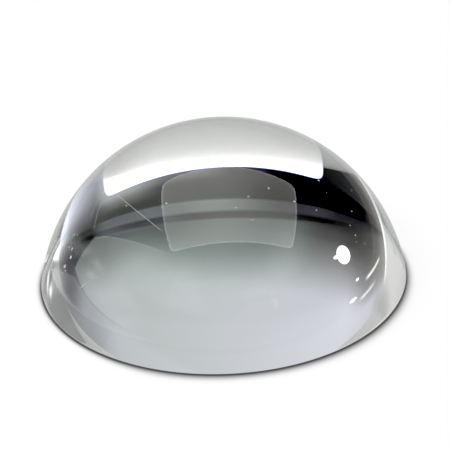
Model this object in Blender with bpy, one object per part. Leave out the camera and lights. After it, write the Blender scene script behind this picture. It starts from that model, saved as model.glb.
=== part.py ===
"""Dome magnifier: one solid block of clear optical glass.

The upper surface is a spherical cap, a little less than a hemisphere. The
underside is flat and polished, and rests on the page being read. The only
other feature is the small rounded arris where the wall meets the underside.

Frame: metres, +Z up along the optical axis, origin at the centre of the flat
underside.
"""

import math

import bmesh
import bpy

# --- driving dimensions (metres) ---------------------------------------------
DIAMETER = 0.0800        # across the cap, ARRIS_WIDTH above the underside
DOME_HEIGHT = 0.0350     # flat underside to the top of the dome
ARRIS_WIDTH = 0.0004     # eased edge between the wall and the underside

# --- tessellation ------------------------------------------------------------
SEGMENTS = 96            # facets around the axis
RINGS = 20               # facets from the top of the dome to the rim
ARRIS_SEGMENTS = 3       # facets across the eased edge
MERGE_DISTANCE = 1e-7    # metres; joins the spun copies of the top point

# --- edge angles, between the facets' normals --------------------------------
BEVEL_ANGLE = math.radians(40.0)   # sharper edges are eased
SHARP_ANGLE = math.radians(25.0)   # sharper edges break the smooth shading

# --- glass, by shader input --------------------------------------------------
GLASS = {
    "Base Color": (0.93, 0.97, 0.96, 1.0),   # faint green tint
    "Metallic": 0.0,
    "Roughness": 0.01,                       # polished
    "IOR": 1.517,                            # crown glass
    "Transmission Weight": 1.0,              # fully clear
}


def sphere_radius(rim_radius, height):
    """Radius of the sphere whose cap has this rim radius and this height."""
    return (rim_radius ** 2 + height ** 2) / (2.0 * height)


def cap_profile():
    """Points of the cap's half section in the XZ plane, from top to rim.

    The sphere reaches DIAMETER at ARRIS_WIDTH above the underside and runs on
    down to the underside, where the bevel then takes the corner off. The
    points are spaced evenly in the angle seen from the sphere's centre, which
    lies below the underside because the cap is less than a hemisphere.
    """
    radius = sphere_radius(DIAMETER / 2.0, DOME_HEIGHT - ARRIS_WIDTH)
    centre_z = DOME_HEIGHT - radius
    rim_angle = math.acos(-centre_z / radius)
    angles = [rim_angle * i / RINGS for i in range(RINGS + 1)]
    return [(radius * math.sin(angle), 0.0, centre_z + radius * math.cos(angle))
            for angle in angles]


def glass_material():
    material = bpy.data.materials.new("optical_glass")
    material.use_nodes = True
    shader = material.node_tree.nodes["Principled BSDF"]
    for name, value in GLASS.items():
        shader.inputs[name].default_value = value
    return material


def dome_mesh():
    """Spin the half section about the optical axis and close the underside."""
    solid = bmesh.new()
    verts = [solid.verts.new(point) for point in cap_profile()]
    edges = [solid.edges.new(pair) for pair in zip(verts[:-1], verts[1:])]
    bmesh.ops.spin(solid, geom=verts + edges, cent=(0.0, 0.0, 0.0),
                   axis=(0.0, 0.0, 1.0), angle=2.0 * math.pi,
                   steps=SEGMENTS, use_merge=True, use_duplicate=False)
    bmesh.ops.remove_doubles(solid, verts=solid.verts[:], dist=MERGE_DISTANCE)

    # The rim is the only open edge loop, so filling it makes the underside.
    rim = [edge for edge in solid.edges if edge.is_boundary]
    bmesh.ops.contextual_create(solid, geom=rim)
    bmesh.ops.recalc_face_normals(solid, faces=solid.faces[:])

    mesh = bpy.data.meshes.new("dome_lens")
    solid.to_mesh(mesh)
    solid.free()
    mesh.shade_smooth()
    mesh.set_sharp_from_angle(angle=SHARP_ANGLE)
    return mesh


def ease_arris(lens):
    """Round the corner between the wall and the underside."""
    arris = lens.modifiers.new("eased_arris", "BEVEL")
    arris.width = ARRIS_WIDTH
    arris.segments = ARRIS_SEGMENTS
    arris.limit_method = "ANGLE"
    arris.angle_limit = BEVEL_ANGLE


def dome_lens():
    mesh = dome_mesh()
    mesh.materials.append(glass_material())
    lens = bpy.data.objects.new("dome_lens", mesh)
    bpy.context.scene.collection.objects.link(lens)
    ease_arris(lens)


def main():
    for obj in list(bpy.data.objects):
        bpy.data.objects.remove(obj, do_unlink=True)
    dome_lens()


main()
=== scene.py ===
"""Looks for the dome magnifier: one solid block of polished glass in a soft studio.

The lens stands on its flat underside, centred on the Z axis, dome upwards. The
camera looks along +Y and down, so +X is right and +Y is behind the lens.
"""

import math
from functools import reduce

import bmesh
import bpy
from mathutils import Matrix, Vector


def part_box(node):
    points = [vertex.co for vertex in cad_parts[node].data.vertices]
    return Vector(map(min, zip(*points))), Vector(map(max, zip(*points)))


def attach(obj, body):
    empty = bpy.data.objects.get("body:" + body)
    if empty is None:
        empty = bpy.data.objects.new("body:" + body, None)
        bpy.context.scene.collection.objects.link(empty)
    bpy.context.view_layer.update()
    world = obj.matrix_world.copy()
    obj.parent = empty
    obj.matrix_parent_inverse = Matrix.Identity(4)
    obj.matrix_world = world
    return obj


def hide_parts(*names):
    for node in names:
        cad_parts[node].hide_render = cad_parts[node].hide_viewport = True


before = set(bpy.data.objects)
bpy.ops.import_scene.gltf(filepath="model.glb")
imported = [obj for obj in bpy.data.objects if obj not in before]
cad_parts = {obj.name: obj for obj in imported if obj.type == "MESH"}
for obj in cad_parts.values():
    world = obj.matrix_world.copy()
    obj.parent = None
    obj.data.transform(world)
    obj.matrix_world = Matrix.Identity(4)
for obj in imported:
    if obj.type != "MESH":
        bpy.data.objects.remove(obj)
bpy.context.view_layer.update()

# --- sizes, in metres --------------------------------------------------------
LENS_LOW, LENS_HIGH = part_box("dome_lens")
RADIUS = (LENS_HIGH.x - LENS_LOW.x) / 2.0
HEIGHT = LENS_HIGH.z - LENS_LOW.z
ARRIS = 0.0004            # height of the eased edge at the foot of the wall
AIR_FILM = 0.00012        # thin air gap under the flat underside
FLOOR_RADIUS = 3.0

SEGMENTS = 384            # around the lens
RINGS = 112               # down the dome
ARRIS_RINGS = 8
UNDERSIDE_SHARES = (0.97, 0.8, 0.55, 0.3, 0.1)   # ring radii over the edge's

GLASS_INDEX = 1.517
FLOOR_TONE = (0.565, 0.572, 0.562)               # as the glass sees it
WHITE = (1.0, 1.0, 1.0)

# Camera: tilts in degrees, lengths in lens radii, focal length in millimetres
ELEVATION = 29.9
ROLL = 2.25
DISTANCE = 30.0
TARGET_HEIGHT = 0.35
SHIFT_RIGHT = 0.0190736   # puts the target a little left of the middle
SHIFT_DOWN = 0.00544959   # and a little above it
FOCAL_LENGTH = 440.4
SENSOR_WIDTH = 36.0


# --- shader arithmetic ---------------------------------------------------------
def feed(node, inputs):
    """Sets a node's inputs to numbers, or links them to sockets or shader values."""
    for key, value in inputs.items():
        if isinstance(value, Value):
            value = value.socket
        if isinstance(value, bpy.types.NodeSocket):
            node.id_data.links.new(value, node.inputs[key])
        else:
            node.inputs[key].default_value = value


def add_node(tree, kind, inputs, **settings):
    node = tree.nodes.new(kind)
    for name, value in settings.items():
        setattr(node, name, value)
    feed(node, inputs)
    return node


class Value:
    """The output of a shader node."""

    def __init__(self, socket):
        self.socket = socket

    def _node(self, kind, inputs, **settings):
        return add_node(self.socket.id_data, kind, inputs, **settings)

    def _vector_math(self, operation, inputs):
        node = self._node("ShaderNodeVectorMath", inputs, operation=operation)
        return Triple(node.outputs[0])


class Field(Value):
    """A shader number that can be combined with ordinary arithmetic."""

    def _math(self, operation, *others, clamp=False):
        node = self._node("ShaderNodeMath", dict(enumerate((self,) + others)),
                          operation=operation, use_clamp=clamp)
        return Field(node.outputs[0])

    def __add__(self, other): return self._math("ADD", other)
    def __sub__(self, other): return self._math("SUBTRACT", other)
    def __mul__(self, other): return self._math("MULTIPLY", other)
    def __truediv__(self, other): return self._math("DIVIDE", other)
    def __neg__(self): return self._math("MULTIPLY", -1.0)
    __radd__ = __add__
    __rmul__ = __mul__

    def __rsub__(self, other): return -self + other

    def power(self, exponent): return self._math("POWER", exponent)
    def absolute(self): return self._math("ABSOLUTE")
    def exponential(self): return self._math("EXPONENT")
    def atan2(self, other): return self._math("ARCTAN2", other)
    def least(self, other): return self._math("MINIMUM", other)
    def most(self, other): return self._math("MAXIMUM", other)
    def clamped(self): return self._math("ADD", 0.0, clamp=True)

    def bell(self, centre, width):
        """1 at centre, falling off on both sides like a bell."""
        t = (self - centre) / width
        return (-(t * t)).exponential()

    def step(self, zero_at, one_at):
        """0 up to zero_at, 1 from one_at on, smooth between, in either direction."""
        t = ((self - zero_at) / (one_at - zero_at)).clamped()
        return t * t * (3.0 - 2.0 * t)

    def tint(self, colour):
        return self._vector_math("SCALE", {0: colour, "Scale": self})


class Triple(Value):
    """A shader colour or position."""

    def __add__(self, other):
        return self._vector_math("ADD", {0: self, 1: other})

    def __mul__(self, factor):
        if isinstance(factor, Field):
            return self._vector_math("SCALE", {0: self, "Scale": factor})
        return self._vector_math("MULTIPLY", {0: self, 1: factor})

    def covered(self, other, share):
        """This colour with another laid over it by share (0..1)."""
        node = self._node("ShaderNodeMix", {0: share, 4: self, 5: other},
                          data_type="VECTOR", factor_mode="UNIFORM", clamp_factor=True)
        return Triple(node.outputs[1])


def split_xyz(socket):
    node = add_node(socket.id_data, "ShaderNodeSeparateXYZ", {0: socket})
    return [Field(output) for output in node.outputs]


def dot(first, second):
    return first[0] * second[0] + first[1] * second[1] + first[2] * second[2]


def planar_distance(x, y):
    return (x * x + y * y).power(0.5)


def empty_tree(owner):
    owner.use_nodes = True
    owner.node_tree.nodes.clear()
    return owner.node_tree


def mirrored_share(path):
    """0 for light that came through the glass, 1 for any other."""
    return 1.0 - Field(path.outputs["Is Transmission Ray"])


def finish_by_ray(path, for_glass, for_camera, output_kind):
    """Shows one shader to the camera and another to every other ray."""
    mix = add_node(path.id_data, "ShaderNodeMixShader", {
        0: path.outputs["Is Camera Ray"],
        1: for_glass.outputs[0],
        2: for_camera.outputs[0],
    })
    add_node(path.id_data, output_kind, {"Surface": mix.outputs[0]})


# --- the lens --------------------------------------------------------------------
def lens_profile():
    """Half section (radius, z) from just below the top to the underside's edge."""
    cap_height = HEIGHT - ARRIS
    sphere = (RADIUS ** 2 + cap_height ** 2) / (2.0 * cap_height)
    centre_z = HEIGHT - sphere
    wall_angle = math.acos((ARRIS - centre_z) / sphere)   # wall normal, from +Z
    points = []
    for i in range(1, RINGS + 1):
        angle = wall_angle * i / RINGS
        points.append((sphere * math.sin(angle), centre_z + sphere * math.cos(angle)))

    # the eased edge is an arc tangent to the wall and to the underside
    start = Vector(points[-1])
    arc = start.y / (math.cos(wall_angle) + 1.0)
    centre = start - arc * Vector((math.sin(wall_angle), math.cos(wall_angle)))
    for i in range(1, ARRIS_RINGS + 1):
        angle = wall_angle + (math.pi - wall_angle) * i / ARRIS_RINGS
        points.append((centre.x + arc * math.sin(angle),
                       max(0.0, centre.y + arc * math.cos(angle))))
    points[-1] = (points[-1][0], 0.0)
    return points


def add_ring(bm, radius, z):
    angles = [2.0 * math.pi * k / SEGMENTS for k in range(SEGMENTS)]
    return [bm.verts.new((radius * math.cos(a), radius * math.sin(a), z)) for a in angles]


def build_lens():
    profile = lens_profile()
    edge_radius = profile[-1][0]
    underside = [(edge_radius * share, 0.0) for share in UNDERSIDE_SHARES]
    following = [(k + 1) % SEGMENTS for k in range(SEGMENTS)]

    bm = bmesh.new()
    top = bm.verts.new((0.0, 0.0, HEIGHT))
    rings = [add_ring(bm, radius, z) for radius, z in profile + underside]
    middle = bm.verts.new((0.0, 0.0, 0.0))

    for k, n in enumerate(following):
        bm.faces.new((top, rings[0][k], rings[0][n])).smooth = True
    for i, (upper, lower) in enumerate(zip(rings[:-1], rings[1:])):
        for k, n in enumerate(following):
            face = bm.faces.new((upper[k], lower[k], lower[n], upper[n]))
            face.smooth = i < len(profile) - 1       # the underside stays flat
    for k, n in enumerate(following):
        bm.faces.new((rings[-1][n], rings[-1][k], middle)).smooth = False

    bmesh.ops.recalc_face_normals(bm, faces=bm.faces[:])
    mesh = bpy.data.meshes.new("polished_dome_lens")
    bm.to_mesh(mesh)
    bm.free()
    lens = bpy.data.objects.new("polished_dome_lens", mesh)
    bpy.context.scene.collection.objects.link(lens)
    return lens


# --- the glass -------------------------------------------------------------------
# Hairlines on the dome, in millimetres: start, end, width, strength
HAIRLINES = [
    ((-22.4, -8.4, 27.2), (-12.4, -22.8, 25.6), 0.055, 0.75),
    ((-12.3, -29.3, 19.5), (-5.1, -34.6, 14.9), 0.045, 0.22),
    ((2.1, -31.7, 19.5), (8.1, -34.2, 14.5), 0.045, 0.25),
    ((-31.0, -20.3, 11.0), (-29.5, -20.7, 12.7), 0.085, 0.65),
    ((-28.3, -21.2, 14.0), (-26.8, -22.4, 15.0), 0.060, 0.50),
]
# Single specks of dust on the dome, in millimetres: x, y, z, radius
SPECKS = [
    (-32.4, -11.4, 15.8, 0.30), (-32.8, -12.7, 14.5, 0.38),
    (-34.2, -12.4, 12.1, 0.44), (-34.6, -12.6, 10.5, 0.34),
    (-34.1, -13.4, 11.6, 0.22), (-33.0, -10.2, 15.5, 0.16),
    (28.4, -3.5, 23.1, 0.22), (22.9, -9.8, 26.4, 0.15),
    (28.1, -10.2, 21.7, 0.20), (28.7, -15.2, 18.6, 0.20),
    (30.6, -14.9, 16.3, 0.17), (28.9, -16.3, 17.7, 0.15),
    (21.3, -7.4, 28.1, 0.24), (10.4, -14.7, 30.8, 0.22),
    (6.0, -17.4, 30.5, 0.20), (15.8, -16.1, 28.1, 0.24),
    (20.5, -15.9, 25.6, 0.17), (12.7, -23.4, 25.0, 0.15),
    (6.6, -22.3, 27.6, 0.16), (-11.6, -17.0, 29.4, 0.20),
    (-37.3, -0.4, 10.0, 0.30), (-36.4, -1.3, 12.0, 0.24),
    (-37.7, -0.4, 9.0, 0.24), (-37.9, -1.1, 8.5, 0.32),
    (-37.2, -4.4, 9.8, 0.28), (-38.0, -3.0, 8.0, 0.28),
    (-36.9, -6.1, 9.8, 0.30), (-37.4, -5.6, 8.6, 0.32),
    (-37.7, -5.9, 7.6, 0.26), (-37.1, -7.8, 8.6, 0.22),
    (-36.1, -10.5, 9.3, 0.24), (-31.9, -8.7, 17.8, 0.20),
    (-31.2, -9.8, 18.3, 0.16),
    (-20.2, -13.1, 27.0, 0.18), (3.3, -20.1, 29.5, 0.15),
]
# Scattered dust: texture scale, smallest and largest speck as shares of the
# texture's cell, shift of the pattern, strength
DUST = [
    (420.0, 0.020, 0.055, 0.013, 0.55),
    (640.0, 0.030, 0.095, 0.057, 0.22),
    (1400.0, 0.08, 0.26, 0.071, 0.07),
    (170.0, 0.010, 0.040, 0.031, 0.85),
]


def scattered_dust(place, scale, smallest, largest, shift, strength):
    """Round specks of mixed sizes, most of them small."""
    shifted = Triple(place) + (shift, 2.0 * shift, -shift)
    cells = add_node(place.id_data, "ShaderNodeTexVoronoi",
                     {"Scale": scale, "Vector": shifted}, feature="F1")
    pick = split_xyz(cells.outputs["Color"])[0]
    size = smallest + (largest - smallest) * pick.power(4.0)
    return (Field(cells.outputs["Distance"]) / size).step(1.0, 0.7) * strength


def gap_to(point_mm, target):
    return [axis - value for axis, value in zip(point_mm, target)]


def single_speck(point_mm, speck):
    *centre, radius = speck
    gap = gap_to(point_mm, centre)
    away = dot(gap, gap).power(0.5)
    return (away / (1.15 * radius)).step(1.0, 0.7) * 0.9


def hairline(point_mm, start, end, width, strength):
    """A thin line along a great circle, faded at both ends, on the front half."""
    start, end = Vector(start), Vector(end)
    along = (end - start).normalized()
    across = start.cross(end).normalized()
    offset = dot(point_mm, across)
    travel = dot(gap_to(point_mm, start), along) / (end - start).length
    return offset.bell(0.0, width) * travel.step(0.0, 0.04) \
        * travel.step(1.0, 0.9) * point_mm[1].step(1.0, -1.0) * strength


def glass():
    """Clear optical glass, very faintly green, with dust, hairlines and smears."""
    material = bpy.data.materials.new("optical_glass")
    material.use_nodes = True
    tree = material.node_tree
    place = add_node(tree, "ShaderNodeTexCoord", {}).outputs["Object"]
    geometry = add_node(tree, "ShaderNodeNewGeometry", {})
    point_mm = [axis * 1000.0 for axis in split_xyz(place)]

    # wear lies only on the outside of the dome, not on the underside
    outer = 1.0 - Field(geometry.outputs["Backfacing"])
    dome = point_mm[2].step(0.05, 0.3)
    specks = reduce(Field.most, [scattered_dust(place, *row) for row in DUST]
                    + [single_speck(point_mm, speck) for speck in SPECKS])
    lines = reduce(Field.most, [hairline(point_mm, *row) for row in HAIRLINES])
    cover = specks.most(lines) * outer * dome

    # faint greasy smears that only roughen the polish a little
    smear_map = add_node(tree, "ShaderNodeTexNoise", {
        "Scale": 55.0,
        "Detail": 3.0,
        "Vector": Triple(place) * (1.0, 2.2, 0.7),
    })
    smear = Field(smear_map.outputs[0]).step(0.55, 0.75) * outer * dome

    feed(tree.nodes["Principled BSDF"], {
        "IOR": GLASS_INDEX,
        "Roughness": 0.45 * cover + 0.004 * smear,
        "Transmission Weight": 1.0 - 0.92 * cover,
        "Base Color": cover.tint((-0.145, -0.165, -0.162)) + (0.985, 0.995, 0.992),
    })
    return material


lens = build_lens()
lens.data.materials.append(glass())
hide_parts("dome_lens")
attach(lens, "root")


# --- the studio --------------------------------------------------------------------
# Small lamps behind at the left: colour, side, back, two half sizes, tilt (degrees)
BACK_LAMPS = [
    ((3.2, 3.2, 3.2), -1.17, 1.56, 0.205, 0.098, -47.0),
    ((1.3, 1.3, 1.3), -1.045, 1.585, 0.045, 0.04, 0.0),
    ((2.6, 1.9, 2.2), -2.50, 3.24, 0.15, 0.12, -52.0),
    ((2.2, 2.2, 2.2), -1.93, 2.24, 0.062, 0.045, -50.0),
]


class Room:
    """Places in the studio, found from the direction of a ray.

    Directions are taken to a level ceiling one unit up: side runs to the right
    and back away behind the lens, so that straight edges of the room stay
    straight. azimuth is in radians from straight behind, positive to the right;
    turned is its size. z is the upward part of the unit direction.
    """

    def __init__(self, direction, mirrored):
        self.x, self.y, self.z = split_xyz(direction)
        up = self.z.most(0.0001)
        self.side = (self.x / up).least(40.0).most(-40.0)
        self.back = (self.y / up).least(40.0).most(-40.0)
        self.azimuth = self.x.atan2(self.y)
        self.turned = self.azimuth.absolute()
        self.mirrored = mirrored


def back_wall(room):
    """Wall behind: bright low down, its foot curving up towards both sides."""
    x, z, side, back = room.x, room.z, room.side, room.back
    turned, mirrored = room.turned, room.mirrored
    offset = side - 0.4
    squared = offset * offset
    middle = 1.31 + 0.17 * squared / (1.0 + 0.045 * squared) \
        - 0.11 * side.bell(-0.48, 0.16) - 0.10 * side.bell(0.65, 0.28)
    depth = 1.15 + 0.33 * offset.absolute().least(5.0)
    rise = (back - middle) / depth + 0.4
    below_rail = back.step(1.095, 1.135)

    # full brightness, fading towards both ends and in mirrored light
    to_right, to_left = x.step(-0.05, 0.05), x.step(0.05, -0.05)
    full = 0.615 - 0.20 * x.most(0.0) \
        - (0.05 + 0.16 * z.step(0.36, 0.16)) * x.least(0.0)
    right_end = 0.72 * turned.step(0.72, 1.03) * to_right * (1.0 - 0.7 * z.step(0.17, 0.08))
    right_low = 0.31 * turned.step(0.48, 0.74) * z.step(0.36, 0.20) * to_right
    left_end = 0.50 * turned.step(0.58, 0.84) * to_left * (1.0 - 0.75 * z.step(0.22, 0.11))
    left_low = 0.20 * turned.step(0.82, 0.95) * to_left * z.step(0.16, 0.08)
    full = full * (1.0 - right_end - right_low - left_end - left_low)
    full = full * (1.0 - mirrored * (0.75 + 0.2 * x.step(-0.1, 0.3)))
    wall = rise.step(0.0, 1.0) * full * below_rail
    wall = wall + 0.12 * side.bell(-0.02, 0.30) * back.step(1.55, 1.10) * below_rail

    # bluer to the left; greenish by the rail and pinkish at its left
    by_rail = back.step(2.4, 1.25)
    light = wall.tint((0.95, 1.0, 1.015)).covered(
        wall.tint((0.985, 1.0, 1.075)), x.step(0.35, -0.45))
    light = light.covered(wall.tint((0.87, 1.0, 0.95)), by_rail)
    light = light.covered(wall.tint((1.07, 1.0, 1.03)), by_rail * x.step(-0.25, -0.55))

    # faint light in the shadows at the two ends of the wall
    behind = back.step(0.95, 1.13)
    right_glow = side.step(1.3, 2.6) * 0.04 * behind
    left_glow = ((-side) - 0.8).most(0.0).least(2.6) * 0.058 * behind \
        * rise.step(0.9, 0.3) * (1.0 - 0.7 * mirrored)
    return light + right_glow.tint((0.95, 0.90, 1.35)) + left_glow.tint((1.05, 1.0, 0.94))


def rail_strip(light, room):
    """Paler strip above the dark rail, with faint light on the rail."""
    side, back = room.side, room.back
    strip = back.step(0.925, 0.955) * back.step(1.070, 1.025)
    brightness = (0.20 * side.bell(0.03, 0.30) + 0.045 * side.step(-0.45, 0.4)
                  * side.step(1.6, 0.9) + 0.03 * side.bell(-0.62, 0.18) + 0.014)
    violet = side.step(-0.25, -0.45)      # greenish strip turns violet at the left
    light = light + (strip * brightness * (1.0 - violet)).tint((0.88, 1.0, 0.95))
    light = light + (strip * (brightness + 0.012 * side.step(-1.35, -0.9)) * violet
                     ).tint((1.02, 0.95, 1.18))
    rail = back.bell(1.085, 0.035) * side.bell(0.0, 0.33) * 0.10
    light = light + rail.tint((0.9, 1.0, 0.95))
    # bluish glow right of the middle, on the strip and on the rail
    glow = strip * side.step(0.20, 0.46) * side.step(1.12, 0.84) * 0.105 \
        + back.bell(1.088, 0.045) * side.step(0.15, 0.42) * side.step(1.18, 0.90) \
        * (0.075 + 0.05 * side.step(0.5, 0.85))
    return light + glow.tint((0.94, 0.98, 1.12))


def dark_ceiling(light, room):
    """Dark ceiling in front of the rail, with patches of spilled light."""
    side, back = room.side, room.back
    ceiling = back.step(0.96, 0.925) * back.step(-0.5, 0.3)
    light = light + (ceiling * side.step(-0.34, 0.02) * 0.078).tint((1.01, 1.02, 0.95))
    spill = 0.24 * side.step(0.25, 0.55) * side.step(0.96, 0.70) * back.step(0.90, 0.68) \
        + 0.13 * back.step(0.78, 0.67) * side.step(-0.10, 0.15) * side.step(0.98, 0.80)
    return light + (spill * back.step(-0.5, 0.3) * (1.0 - room.mirrored)
                    ).tint((0.97, 1.0, 0.96))


def right_light(light, room):
    """Light at the right, glowing over the ceiling beside it."""
    side, back = room.side, room.back
    reach = ((side - 0.2) / 1.8).clamped().power(1.45) * (1.15 + 0.4 * side.step(1.8, 2.3))
    fall = (back - 0.08 * (side.least(4.0) - 1.0)).step(0.96, 0.27)
    glow = (reach * fall) * back.step(-1.1, -0.35) * room.z.step(0.10, 0.27) \
        * (1.0 + 0.25 * side.step(2.4, 3.4))
    glow = glow * (1.0 - 0.96 * room.mirrored)
    return light + glow.tint((0.97, 1.0, 1.20))


def left_corner(light, room):
    """Dark corner at the left, with a trace of light in it."""
    corner = ((((-room.side) - 0.80) - 0.9 * (room.back - 0.2)) / 0.9).clamped()
    corner = corner * room.back.step(0.93, 0.86) * room.back.step(-0.6, 0.0)
    return light + (corner * 0.10).tint((1.12, 1.0, 0.95))


def left_diffuser(light, room):
    """Tall diffuser at the left: an upright end and a sloping top."""
    z, side, azimuth, mirrored = room.z, room.side, room.azimuth, room.mirrored

    def top_line(knee, shift, beyond):
        """Sloping top that changes slope at the knee, this far to the left."""
        return 0.86 * (side.most(-knee) + shift) + beyond * (side + knee).least(0.0)

    through_top = top_line(knee=1.7, shift=1.7, beyond=0.57)
    mirrored_top = top_line(knee=2.1, shift=1.45, beyond=0.76)
    slope = room.back - 0.15 - 0.05 * mirrored \
        + through_top * (1.0 - mirrored) + mirrored_top * mirrored
    ends = azimuth.step(-1.11, -1.145) * azimuth.step(-2.32, -1.75)
    panel = slope.step(0.025, -0.025) * ends * z.step(0.012, 0.022)
    brightness = (1.40 + 0.45 * azimuth.step(-1.6, -1.15)) * mirrored \
        + (0.88 + 0.82 * azimuth.step(-1.50, -1.28)) \
        * (1.0 - 0.22 * z.step(0.35, 0.02)) * (1.0 - mirrored)
    # bright top edge in mirrored light
    brightness = brightness + 1.1 * slope.bell(-0.01, 0.022) * mirrored
    return light.covered(brightness.tint((0.955, 1.0, 1.0)), panel)


def low_and_front(light, room):
    """Soft light low down at the right; a front pale near the floor, dim above."""
    low = room.z.step(0.24, 0.06)
    aside = room.y.absolute().step(0.45, 0.2)
    light = light + (low * room.x.step(0.5, 0.9) * aside * 0.2).tint((0.95, 1.0, 1.06))
    front = room.y.step(-0.2, -0.5)
    brightness = 0.07 + 0.46 * (-room.back).step(2.1, 4.2)
    return light + (front * brightness).tint((0.98, 1.0, 1.01))


def front_screens(light, room):
    """A pale screen at the front left and a dim one at the front right."""
    x, z, side, back, turned = room.x, room.z, room.side, room.back, room.turned
    around = side.absolute().step(0.15, 0.72) * (-back).step(0.35, 0.92) \
        * (-back).step(3.6, 2.2) * side.absolute().step(3.2, 1.9)

    # pale left screen, with a darker bar across it
    screen = around * x.step(0.0, -0.05)
    pale = 0.47 + 0.29 * turned.step(2.405, 2.46) + 0.10 * z.step(0.58, 0.605)
    bar = z.bell(0.447, 0.009) * turned.step(2.52, 2.55)
    pale = (pale - 0.25 * bar) * (1.0 - 0.85 * z.step(0.435, 0.330))
    light = light.covered(pale.tint((1.0, 1.0, 0.985)), screen)

    # green-grey right screen, with a small two-part lamp, a strip below it, a
    # glowing edge and a dark patch
    screen = around * x.step(0.0, 0.05)
    dim = 0.215 + 0.17 * z.step(0.515, 0.475) + 0.04 * z.step(0.562, 0.60)
    lamp = turned.bell(2.545, 0.0125) * z.bell(0.479, 0.022) \
        + 0.9 * turned.bell(2.506, 0.014) * z.bell(0.4965, 0.012)
    lamp_strip = z.step(0.440, 0.428) * z.step(0.335, 0.365) * turned.bell(2.532, 0.024)
    edge_glow = turned.step(2.545, 2.60) * z.step(0.502, 0.520)
    dim = dim + 1.3 * lamp + 1.2 * lamp_strip + 0.34 * edge_glow
    patch = turned.step(2.500, 2.518) * z.step(0.438, 0.450) * z.step(0.500, 0.480)
    dim = (dim - 0.26 * patch).most(0.05)
    return light.covered(dim.tint((0.985, 1.0, 0.985)), screen)


def overhead_softbox(light, room):
    """Slightly tapered panel overhead with rounded corners."""
    side, back, mirrored = room.side, room.back, room.mirrored
    left_edge = 0.077 * back - 0.70 + 0.085 * mirrored
    right_edge = 0.888 - 0.153 * back
    back_edge = 0.655 + 0.03 * side - 0.02 * mirrored
    front_edge = 0.045 * side - 0.43
    # -1 to 1 across the panel, both ways
    sideways = (2.0 * side - left_edge - right_edge) / (right_edge - left_edge)
    lengthways = (2.0 * back - front_edge - back_edge) / (back_edge - front_edge)
    shape = sideways.absolute().power(16.0) + lengthways.absolute().power(16.0)

    # the edge is spread a little by colour, as thick glass does: red, green, blue
    edges = [shape.step(1.15, 0.80), shape.step(1.17, 0.81), shape.step(1.27, 0.85)]
    node = add_node(shape.socket.id_data, "ShaderNodeCombineXYZ", dict(enumerate(edges)))
    softbox = Triple(node.outputs[0]) * (2.12, 2.1, 2.04)
    softbox = softbox * (1.0 - 0.44 * side.step(0.30, 0.72) * (1.0 - mirrored))
    rim = shape.bell(0.85, 0.20) * mirrored * 2.0
    hide = shape.step(1.25, 0.8)
    return light * (1.0 - hide) + softbox + rim.tint(WHITE)


def back_lamp(room, lamp_side, lamp_back, half_length, half_width, tilt):
    """Share of light from one soft-edged oval lamp."""
    cosine, sine = math.cos(math.radians(tilt)), math.sin(math.radians(tilt))
    from_side, from_back = room.side - lamp_side, room.back - lamp_back
    along = (from_side * cosine + from_back * sine) / half_length
    across = (from_back * cosine - from_side * sine) / half_width
    return (along * along + across * across).step(1.25, 0.75)


def left_strips(light, room):
    """Two thin bright strips low down, behind at the left."""
    z, azimuth = room.z, room.azimuth
    upper = z.bell(0.283, 0.0080) * azimuth.step(-0.78, -0.84) * azimuth.step(-1.06, -1.0)
    lower = z.bell(0.209, 0.0085) * azimuth.step(-0.70, -0.76) * azimuth.step(-0.94, -0.84)
    return light + (1.05 * upper + 0.66 * lower).tint((1.0, 0.98, 0.96))


def room_light(room):
    """Light from each direction above the floor, as the glass sees it."""
    light = back_wall(room)
    for add_part in (rail_strip, dark_ceiling, right_light, left_corner, left_diffuser,
                     low_and_front, front_screens, overhead_softbox):
        light = add_part(light, room)
    for colour, *shape in BACK_LAMPS:
        light = light.covered(colour, back_lamp(room, *shape))
    return left_strips(light, room)


def studio_world():
    """Soft studio seen by the glass; the camera itself sees plain white."""
    world = bpy.data.worlds.new("soft_studio")
    bpy.context.scene.world = world
    tree = empty_tree(world)
    coord = add_node(tree, "ShaderNodeTexCoord", {})
    path = add_node(tree, "ShaderNodeLightPath", {})
    room = Room(coord.outputs["Generated"], mirrored_share(path))
    light = room_light(room)
    floor_tone = add_node(tree, "ShaderNodeRGB", {}).outputs[0]
    floor_tone.default_value = (*FLOOR_TONE, 1.0)
    seen = Triple(floor_tone).covered(light, room.z.step(-0.004, 0.004))

    backdrop = add_node(tree, "ShaderNodeBackground", {"Color": seen})
    plain = add_node(tree, "ShaderNodeBackground", {"Color": (*WHITE, 1.0)})
    finish_by_ray(path, backdrop, plain, "ShaderNodeOutputWorld")


def fading(distance, width, exponent):
    return (-((distance / width).power(exponent))).exponential()


def contact_shade(x, y, r):
    """Soft contact shadow, wider towards the viewer but narrow at the far left."""
    front = (y / r * -1.0).step(-0.6, 1.0)
    away = (r - RADIUS).most(0.0)
    width = 0.0007 + 0.0010 * front * (x / r).step(-0.95, -0.25)
    contact = fading(away, width, 1.9)
    # painted shade: a narrow dark line of shadow right at the lens's edge, where it meets
    # the floor
    edge_shadow_line = fading(away, 0.00018 + 0.00022 * front, 2.0)
    # very faint wide shadow, shifted to the right and back
    cast = (planar_distance(x - 0.0035, y - 0.004) / RADIUS).step(1.16, 0.92)
    return (1.0 - 0.74 * contact) * (1.0 - 0.6 * edge_shadow_line) * (1.0 - 0.03 * cast)


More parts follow.
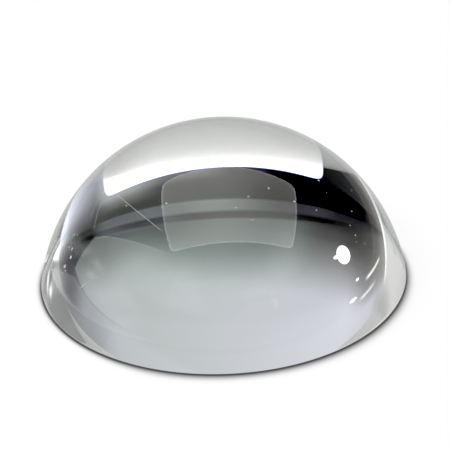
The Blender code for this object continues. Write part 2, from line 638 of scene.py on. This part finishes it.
def white_sweep():
    """White with a shadow for the camera, a grey tone for the glass."""
    material = bpy.data.materials.new("white_sweep")
    tree = empty_tree(material)
    geometry = add_node(tree, "ShaderNodeNewGeometry", {})
    x, y, _ = split_xyz(geometry.outputs["Position"])
    r = planar_distance(x, y)
    shade = contact_shade(x, y, r)
    lit = add_node(tree, "ShaderNodeEmission", {"Color": shade.tint(WHITE)})

    # painted light: a pool of paler floor at the foot of the diffuser at the left, with a
    # painted bright rim
    beyond = (0.604 * y - 0.797 * x).step(0.0495, 0.0515)
    beside = (-x - 2.6 * y).step(0.0, 0.02)
    pale = beyond * beside
    rim = (0.604 * y - 0.797 * x).bell(0.052, 0.003) * beside
    path = add_node(tree, "ShaderNodeLightPath", {})
    dimmer = 1.0 - 0.62 * mirrored_share(path) * r.step(0.08, 0.25)
    tone = FLOOR_TONE[1] * dimmer + 0.80 * pale + 0.30 * rim
    seen = add_node(tree, "ShaderNodeEmission", {"Color": tone.tint((0.99, 1.0, 0.985))})
    finish_by_ray(path, seen, lit, "ShaderNodeOutputMaterial")
    return material


def studio_floor():
    bm = bmesh.new()
    bmesh.ops.create_circle(bm, cap_ends=True, segments=128, radius=FLOOR_RADIUS)
    mesh = bpy.data.meshes.new("studio_floor")
    bm.to_mesh(mesh)
    bm.free()
    floor = bpy.data.objects.new("studio_floor", mesh)
    floor.location.z = LENS_LOW.z - AIR_FILM
    bpy.context.scene.collection.objects.link(floor)
    mesh.materials.append(white_sweep())


def studio_camera():
    """A long lens far in front, looking down, rolled slightly."""
    elevation, roll = math.radians(ELEVATION), math.radians(ROLL)
    backward = Vector((0.0, -math.cos(elevation), math.sin(elevation)))
    right = Vector((1.0, 0.0, 0.0))
    up = Vector((0.0, math.sin(elevation), math.cos(elevation)))
    cam_right = right * math.cos(roll) - up * math.sin(roll)
    cam_up = right * math.sin(roll) + up * math.cos(roll)
    target = Vector((0.0, 0.0, TARGET_HEIGHT * RADIUS))
    place = target + backward * (DISTANCE * RADIUS) \
        + cam_right * (SHIFT_RIGHT * RADIUS) - cam_up * (SHIFT_DOWN * RADIUS)

    data = bpy.data.cameras.new("studio_camera")
    data.sensor_fit = "HORIZONTAL"
    data.sensor_width = SENSOR_WIDTH
    data.lens = FOCAL_LENGTH
    data.clip_start = 0.05
    data.clip_end = 50.0
    camera = bpy.data.objects.new("studio_camera", data)
    rotation = Matrix((cam_right, cam_up, backward)).transposed()
    camera.matrix_world = Matrix.Translation(place) @ rotation.to_4x4()
    bpy.context.scene.collection.objects.link(camera)
    bpy.context.scene.camera = camera


def render_settings():
    scene = bpy.context.scene
    view = scene.view_settings
    view.view_transform = "Standard"
    view.look = "None"
    view.exposure = 0.0
    view.gamma = 1.0
    view.use_curve_mapping = True        # a slightly deeper black
    view.curve_mapping.black_level = (0.03, 0.03, 0.03)
    view.curve_mapping.update()
    if hasattr(scene, "cycles"):         # absent where Cycles is switched off
        scene.cycles.max_bounces = 32
        scene.cycles.transmission_bounces = 32
        scene.cycles.glossy_bounces = 24
        scene.cycles.use_denoising = True
        scene.cycles.denoising_input_passes = "RGB"
        scene.cycles.seed = 7


studio_world()
studio_floor()
studio_camera()
render_settings()

bpy.context.view_layer.update()
